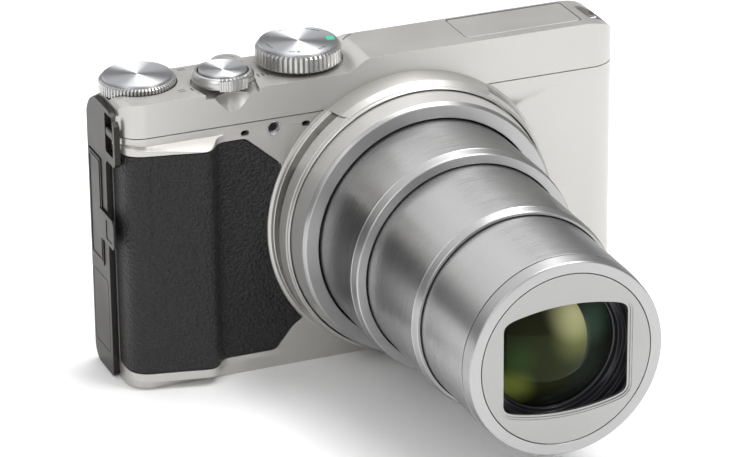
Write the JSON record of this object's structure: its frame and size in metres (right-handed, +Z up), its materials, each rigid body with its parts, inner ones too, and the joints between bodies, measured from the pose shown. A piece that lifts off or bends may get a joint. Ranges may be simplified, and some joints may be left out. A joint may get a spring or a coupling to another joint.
{
  "type": "compact digital camera",
  "caption": "Compact travel-zoom digital camera with an extended telescoping lens, knurled top dials, a grip covering, a pop-up flash and a hinged rear monitor.",
  "frame": {"origin": "on the flat base, at the middle of the body's width, 15 mm behind the body's flat front", "axes": "+X to the right seen from the front, +Y to the back, +Z up"},
  "size_m": [0.1125, 0.1053, 0.068],
  "materials": {
    "silver_shell": "warm silver satin paint",
    "dark_silver": "dark warm grey satin paint",
    "barrel_metal": "satin anodised, turned",
    "dial_metal": "spun and knurled bright aluminium",
    "grip_cover": "charcoal pebble-grained leatherette",
    "black_plastic": "fine matt black",
    "grey_plastic": "matt grey",
    "lens_glass": "clear, green and amber coated",
    "screen_glass": "glossy black panel",
    "steel": "bare",
    "brass": "cut",
    "board": "green board with black chips"
  },
  "bodies": {
    "body": {"front_shell": "silver_shell", "top_cover": "silver_shell", "rear_shell": "black_plastic", "side_plate": "dark_silver", "grip_skin": "grip_cover", "battery_door_pin": "steel", "tripod_socket": "steel", "strap_lug_left": "dark_silver", "strap_lug_right": "steel", "lens_flange": "silver_shell", "name_ring": "silver_shell", "lens_tube": "black_plastic", "image_sensor": "grey_plastic", "zoom_motor": "steel", "af_lamp": "lens_glass", "hinge_pin": "steel", "thumb_rest": "grip_cover", "battery": "grey_plastic", "memory_card": "black_plastic", "battery_holder": "grey_plastic", "main_board": "board", "flash_capacitor": "black_plastic", "side_sockets": "steel"},
    "barrel_1": {"barrel_1": "barrel_metal"},
    "barrel_2": {"barrel_2": "barrel_metal", "zoom_lens_group": "grey_plastic"},
    "barrel_3": {"barrel_3": "barrel_metal", "front_ring": "barrel_metal", "front_plate": "barrel_metal", "front_lens": "lens_glass", "lens_holder": "black_plastic"},
    "focus_group": {"focus_lens_group": "grey_plastic"},
    "cam_ring": {"cam_ring": "black_plastic"},
    "zoom_gear": {"zoom_gear": "brass"},
    "motor_pinion": {"motor_pinion": "brass"},
    "mode_dial": {"mode_dial": "dial_metal"},
    "command_dial": {"command_dial": "dial_metal"},
    "zoom_lever": {"zoom_lever": "dial_metal"},
    "shutter_button": {"shutter_button": "dial_metal"},
    "power_button": {"power_button": "dial_metal"},
    "flash": {"flash_head": "silver_shell", "flash_window": "lens_glass"},
    "monitor": {"monitor_housing": "black_plastic", "monitor_glass": "screen_glass", "hinge_arm": "black_plastic"},
    "battery_door": {"battery_door": "silver_shell"},
    "battery_latch": {"battery_latch": "black_plastic"},
    "connector_cover": {"connector_cover": "dark_silver"},
    "record_button": {"record_button": "black_plastic"},
    "play_button": {"play_button": "black_plastic"},
    "menu_button": {"menu_button": "black_plastic"},
    "delete_button": {"delete_button": "black_plastic"},
    "ok_button": {"ok_button": "black_plastic"},
    "selector_ring": {"selector_ring": "dial_metal"},
    "barrier_upper_1": {"barrier_upper_1": "black_plastic"},
    "barrier_lower_1": {"barrier_lower_1": "black_plastic"},
    "barrier_upper_2": {"barrier_upper_2": "black_plastic"},
    "barrier_lower_2": {"barrier_lower_2": "black_plastic"},
    "barrier_upper_3": {"barrier_upper_3": "black_plastic"},
    "barrier_lower_3": {"barrier_lower_3": "black_plastic"}
  },
  "joints": [
    {"name": "lens_retract", "type": "slide", "parent": "body", "child": "barrel_1", "axis": [0, 1, 0], "range_m": [0, 0.019]},
    {"name": "barrel_2_slide", "type": "slide", "parent": "barrel_1", "child": "barrel_2", "axis": [0, 1, 0], "range_m": [0, 0.0248]},
    {"name": "barrel_3_slide", "type": "slide", "parent": "barrel_2", "child": "barrel_3", "axis": [0, 1, 0], "range_m": [0, 0.023]},
    {"name": "focus_slide", "type": "slide", "parent": "body", "child": "focus_group", "axis": [0, 1, 0], "range_m": [0, 0.0098]},
    {"name": "cam_turn", "type": "hinge", "parent": "body", "child": "cam_ring", "pos_m": [0.00716, 0, 0.03064], "axis": [0, 1, 0], "range_deg": [0, 60.5]},
    {"name": "zoom_gear_turn", "type": "hinge", "parent": "body", "child": "zoom_gear", "pos_m": [0.03357, 0, 0.01539], "axis": [0, -1, 0], "range_deg": [0, 216.5]},
    {"name": "motor_turn", "type": "hinge", "parent": "body", "child": "motor_pinion", "pos_m": [0.03834, 0, 0.01264], "axis": [0, 1, 0], "range_deg": [0, 270.5]},
    {"name": "barrier_upper_1_slide", "type": "slide", "parent": "barrel_3", "child": "barrier_upper_1", "axis": [0, 0, -1], "range_m": [0, 0.0039]},
    {"name": "barrier_lower_1_slide", "type": "slide", "parent": "barrel_3", "child": "barrier_lower_1", "axis": [0, 0, 1], "range_m": [0, 0.0039]},
    {"name": "barrier_upper_2_slide", "type": "slide", "parent": "barrel_3", "child": "barrier_upper_2", "axis": [0, 0, -1], "range_m": [0, 0.0081]},
    {"name": "barrier_lower_2_slide", "type": "slide", "parent": "barrel_3", "child": "barrier_lower_2", "axis": [0, 0, 1], "range_m": [0, 0.0081]},
    {"name": "barrier_upper_3_slide", "type": "slide", "parent": "barrel_3", "child": "barrier_upper_3", "axis": [0, 0, -1], "range_m": [0, 0.0123]},
    {"name": "barrier_lower_3_slide", "type": "slide", "parent": "barrel_3", "child": "barrier_lower_3", "axis": [0, 0, 1], "range_m": [0, 0.0123]},
    {"name": "mode_dial_turn", "type": "hinge", "parent": "body", "child": "mode_dial", "pos_m": [-0.01287, -0.00482, 0.066], "axis": [0, 0, 1], "continuous": true},
    {"name": "command_dial_turn", "type": "hinge", "parent": "body", "child": "command_dial", "pos_m": [-0.0471, -0.0023, 0.064], "axis": [0, 0, 1], "continuous": true},
    {"name": "zoom_lever_turn", "type": "hinge", "parent": "body", "child": "zoom_lever", "pos_m": [-0.031, -0.0091, 0.065], "axis": [0, 0, 1], "range_deg": [-22, 22], "stiffness_Nm_per_rad": 0.02},
    {"name": "shutter_button_press", "type": "slide", "parent": "body", "child": "shutter_button", "axis": [0, 0, -1], "range_m": [0, 0.001], "stiffness_N_per_m": 150},
    {"name": "power_button_press", "type": "slide", "parent": "body", "child": "power_button", "axis": [0, 0, -1], "range_m": [0, 0.0006], "stiffness_N_per_m": 150},
    {"name": "record_button_press", "type": "slide", "parent": "body", "child": "record_button", "axis": [0, -1, 0], "range_m": [0, 0.0005], "stiffness_N_per_m": 150},
    {"name": "play_button_press", "type": "slide", "parent": "body", "child": "play_button", "axis": [0, -1, 0], "range_m": [0, 0.0005], "stiffness_N_per_m": 150},
    {"name": "menu_button_press", "type": "slide", "parent": "body", "child": "menu_button", "axis": [0, -1, 0], "range_m": [0, 0.0005], "stiffness_N_per_m": 150},
    {"name": "delete_button_press", "type": "slide", "parent": "body", "child": "delete_button", "axis": [0, -1, 0], "range_m": [0, 0.0005], "stiffness_N_per_m": 150},
    {"name": "ok_button_press", "type": "slide", "parent": "body", "child": "ok_button", "axis": [0, -1, 0], "range_m": [0, 0.0005], "stiffness_N_per_m": 150},
    {"name": "selector_turn", "type": "hinge", "parent": "body", "child": "selector_ring", "pos_m": [-0.0422, 0.005, 0.018], "axis": [0, 1, 0], "continuous": true},
    {"name": "flash_lift", "type": "hinge", "parent": "body", "child": "flash", "pos_m": [0.035, -0.00145, 0.0652], "axis": [-1, 0, 0], "range_deg": [0, 50]},
    {"name": "monitor_swing", "type": "hinge", "parent": "body", "child": "monitor", "pos_m": [0.052, 0.0084, 0.031], "axis": [0, 0, -1], "range_deg": [0, 180]},
    {"name": "battery_door_swing", "type": "hinge", "parent": "body", "child": "battery_door", "pos_m": [-0.0518, -0.0063, 0.00105], "axis": [0, 1, 0], "range_deg": [0, 90]},
    {"name": "battery_latch_slide", "type": "slide", "parent": "battery_door", "child": "battery_latch", "axis": [1, 0, 0], "range_m": [0, 0.0024]},
    {"name": "connector_cover_swing", "type": "hinge", "parent": "body", "child": "connector_cover", "pos_m": [-0.056, 0.0034, 0.036], "axis": [0, 0, -1], "range_deg": [0, 85]}
  ],
  "couplings": [
    {"joint": "barrel_2_slide", "follows": "lens_retract", "ratio": 1.3},
    {"joint": "barrel_3_slide", "follows": "lens_retract", "ratio": 1.2053},
    {"joint": "focus_slide", "follows": "lens_retract", "ratio": 0.51053},
    {"joint": "cam_turn", "follows": "lens_retract", "rad_per_m": 55.116},
    {"joint": "zoom_gear_turn", "follows": "lens_retract", "rad_per_m": 198.42},
    {"joint": "motor_turn", "follows": "lens_retract", "rad_per_m": 248.02},
    {"joint": "barrier_upper_1_slide", "follows": "lens_retract", "ratio": 0.2},
    {"joint": "barrier_lower_1_slide", "follows": "lens_retract", "ratio": 0.2},
    {"joint": "barrier_upper_2_slide", "follows": "lens_retract", "ratio": 0.42105},
    {"joint": "barrier_lower_2_slide", "follows": "lens_retract", "ratio": 0.42105},
    {"joint": "barrier_upper_3_slide", "follows": "lens_retract", "ratio": 0.64211},
    {"joint": "barrier_lower_3_slide", "follows": "lens_retract", "ratio": 0.64211}
  ]
}
